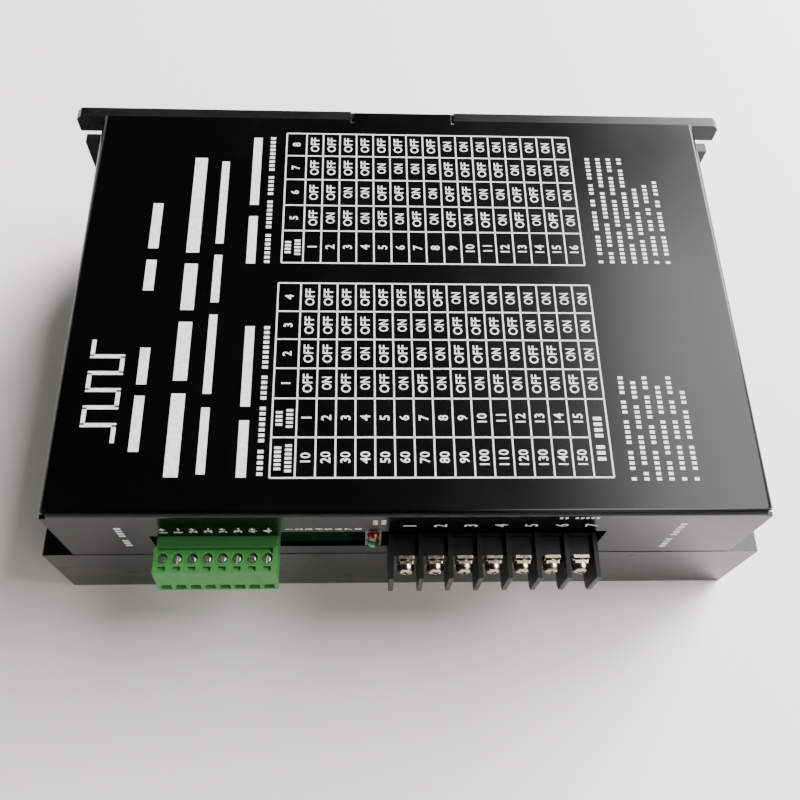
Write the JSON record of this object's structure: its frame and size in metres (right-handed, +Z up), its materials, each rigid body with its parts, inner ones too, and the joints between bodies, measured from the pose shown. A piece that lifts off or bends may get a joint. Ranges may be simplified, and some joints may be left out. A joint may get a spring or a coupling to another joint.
{
  "type": "stepper motor driver",
  "caption": "Low black metal stepper motor driver on a finned heatsink with slotted ears, a pull-off green signal plug, a barrier terminal block, setting switches and status lamps.",
  "frame": {"origin": "middle of the heatsink's footprint, on the underside of its fins", "axes": "+X along the length, +Y from the terminals to the mounting face of the back flange, +Z up through the printed cover"},
  "size_m": [0.2, 0.1443, 0.064],
  "materials": {
    "heatsink_black": "black anodised or painted extrusion, satin",
    "cover_black": "smooth semi-gloss black paint with white print",
    "black_steel": "black zinc",
    "zinc_steel": "zinc plated",
    "brass": "bare brass",
    "board_green": "green solder mask",
    "header_green": "dark green moulding",
    "plug_green": "green moulding",
    "tinned": "tin plated",
    "nickel": "nickel plated",
    "screw_steel": "zinc plated, tool marked",
    "switch_red": "moulded",
    "white": "moulded",
    "lamp_grey": "moulded",
    "lamp_red": "tinted epoxy",
    "lamp_green": "tinted epoxy",
    "barrier_black": "glass-filled moulding",
    "package_black": "moulded package",
    "insulator_grey": "silicone film",
    "sleeve_black": "shrink sleeve",
    "relay_blue": "moulded",
    "thermistor_green": "lacquered",
    "fuse_glass": "glass tube with caps",
    "clip_metal": "plated",
    "ferrite": "sintered",
    "copper": "enamelled wire",
    "tape_yellow": "tape over the winding",
    "resistor_black": "chip resistor"
  },
  "bodies": {
    "root": {"heatsink": "heatsink_black", "cover": "cover_black", "cover_brackets": "zinc_steel", "cover_screws": "black_steel", "bracket_screws": "zinc_steel", "main_board": "board_green", "board_standoffs": "brass", "board_screws": "zinc_steel", "signal_header": "header_green", "header_pins": "tinned", "switch_body": "switch_red", "lamp_holder": "lamp_grey", "green_lamp": "lamp_green", "red_lamp": "lamp_red", "barrier_block": "barrier_black", "barrier_plates": "nickel", "barrier_washers": "nickel", "power_transistors": "package_black", "insulating_strip": "insulator_grey", "clamp_bar": "zinc_steel", "clamp_screws": "zinc_steel", "bridge_rectifier": "package_black", "bulk_capacitors": "sleeve_black", "inrush_relay": "relay_blue", "thermistor": "thermistor_green", "mains_fuse": "fuse_glass", "fuse_clips": "clip_metal", "choke_core": "ferrite", "choke_windings": "copper", "transformer_core": "ferrite", "transformer_coil": "tape_yellow", "control_chip": "package_black", "gate_drivers": "package_black", "optocouplers": "package_black", "shunt_resistors": "resistor_black"},
    "plug": {"plug_housing": "plug_green", "plug_cages": "tinned"},
    "plug_screw_1": {"plug_screw_1": "screw_steel"},
    "plug_screw_2": {"plug_screw_2": "screw_steel"},
    "plug_screw_3": {"plug_screw_3": "screw_steel"},
    "plug_screw_4": {"plug_screw_4": "screw_steel"},
    "plug_screw_5": {"plug_screw_5": "screw_steel"},
    "plug_screw_6": {"plug_screw_6": "screw_steel"},
    "plug_screw_7": {"plug_screw_7": "screw_steel"},
    "plug_screw_8": {"plug_screw_8": "screw_steel"},
    "barrier_screw_1": {"barrier_screw_1": "nickel"},
    "barrier_screw_2": {"barrier_screw_2": "nickel"},
    "barrier_screw_3": {"barrier_screw_3": "nickel"},
    "barrier_screw_4": {"barrier_screw_4": "nickel"},
    "barrier_screw_5": {"barrier_screw_5": "nickel"},
    "barrier_screw_6": {"barrier_screw_6": "nickel"},
    "barrier_screw_7": {"barrier_screw_7": "nickel"},
    "switch_slider_1": {"switch_slider_1": "white"},
    "switch_slider_2": {"switch_slider_2": "white"},
    "switch_slider_3": {"switch_slider_3": "white"},
    "switch_slider_4": {"switch_slider_4": "white"},
    "switch_slider_5": {"switch_slider_5": "white"},
    "switch_slider_6": {"switch_slider_6": "white"},
    "switch_slider_7": {"switch_slider_7": "white"},
    "switch_slider_8": {"switch_slider_8": "white"}
  },
  "joints": [
    {"name": "plug_pull", "type": "slide", "parent": "root", "child": "plug", "axis": [0, -1, 0], "range_m": [0, 0.009]},
    {"name": "plug_clamp_1", "type": "hinge", "parent": "plug", "child": "plug_screw_1", "pos_m": [-0.06344, -0.0725, 0.048], "axis": [0, 0, 1], "range_deg": [0, 1440]},
    {"name": "plug_clamp_2", "type": "hinge", "parent": "plug", "child": "plug_screw_2", "pos_m": [-0.05962, -0.0725, 0.048], "axis": [0, 0, 1], "range_deg": [0, 1440]},
    {"name": "plug_clamp_3", "type": "hinge", "parent": "plug", "child": "plug_screw_3", "pos_m": [-0.05581, -0.0725, 0.048], "axis": [0, 0, 1], "range_deg": [0, 1440]},
    {"name": "plug_clamp_4", "type": "hinge", "parent": "plug", "child": "plug_screw_4", "pos_m": [-0.05201, -0.0725, 0.048], "axis": [0, 0, 1], "range_deg": [0, 1440]},
    {"name": "plug_clamp_5", "type": "hinge", "parent": "plug", "child": "plug_screw_5", "pos_m": [-0.0482, -0.0725, 0.048], "axis": [0, 0, 1], "range_deg": [0, 1440]},
    {"name": "plug_clamp_6", "type": "hinge", "parent": "plug", "child": "plug_screw_6", "pos_m": [-0.04439, -0.0725, 0.048], "axis": [0, 0, 1], "range_deg": [0, 1440]},
    {"name": "plug_clamp_7", "type": "hinge", "parent": "plug", "child": "plug_screw_7", "pos_m": [-0.04057, -0.0725, 0.048], "axis": [0, 0, 1], "range_deg": [0, 1440]},
    {"name": "plug_clamp_8", "type": "hinge", "parent": "plug", "child": "plug_screw_8", "pos_m": [-0.03676, -0.0725, 0.048], "axis": [0, 0, 1], "range_deg": [0, 1440]},
    {"name": "terminal_1", "type": "hinge", "parent": "root", "child": "barrier_screw_1", "pos_m": [-0.00116, -0.0746, 0.047], "axis": [0, -1, 0], "range_deg": [-720, 1080]},
    {"name": "terminal_2", "type": "hinge", "parent": "root", "child": "barrier_screw_2", "pos_m": [0.00646, -0.0746, 0.047], "axis": [0, -1, 0], "range_deg": [-720, 1080]},
    {"name": "terminal_3", "type": "hinge", "parent": "root", "child": "barrier_screw_3", "pos_m": [0.01408, -0.0746, 0.047], "axis": [0, -1, 0], "range_deg": [-720, 1080]},
    {"name": "terminal_4", "type": "hinge", "parent": "root", "child": "barrier_screw_4", "pos_m": [0.0217, -0.0746, 0.047], "axis": [0, -1, 0], "range_deg": [-720, 1080]},
    {"name": "terminal_5", "type": "hinge", "parent": "root", "child": "barrier_screw_5", "pos_m": [0.02932, -0.0746, 0.047], "axis": [0, -1, 0], "range_deg": [-720, 1080]},
    {"name": "terminal_6", "type": "hinge", "parent": "root", "child": "barrier_screw_6", "pos_m": [0.03694, -0.0746, 0.047], "axis": [0, -1, 0], "range_deg": [-720, 1080]},
    {"name": "terminal_7", "type": "hinge", "parent": "root", "child": "barrier_screw_7", "pos_m": [0.04456, -0.0746, 0.047], "axis": [0, -1, 0], "range_deg": [-720, 1080]},
    {"name": "switch_1", "type": "slide", "parent": "root", "child": "switch_slider_1", "axis": [0, 0, 1], "range_m": [0, 0.002]},
    {"name": "switch_2", "type": "slide", "parent": "root", "child": "switch_slider_2", "axis": [0, 0, 1], "range_m": [0, 0.002]},
    {"name": "switch_3", "type": "slide", "parent": "root", "child": "switch_slider_3", "axis": [0, 0, 1], "range_m": [0, 0.002]},
    {"name": "switch_4", "type": "slide", "parent": "root", "child": "switch_slider_4", "axis": [0, 0, 1], "range_m": [0, 0.002]},
    {"name": "switch_5", "type": "slide", "parent": "root", "child": "switch_slider_5", "axis": [0, 0, 1], "range_m": [0, 0.002]},
    {"name": "switch_6", "type": "slide", "parent": "root", "child": "switch_slider_6", "axis": [0, 0, 1], "range_m": [0, 0.002]},
    {"name": "switch_7", "type": "slide", "parent": "root", "child": "switch_slider_7", "axis": [0, 0, 1], "range_m": [0, 0.002]},
    {"name": "switch_8", "type": "slide", "parent": "root", "child": "switch_slider_8", "axis": [0, 0, 1], "range_m": [0, 0.002]}
  ]
}
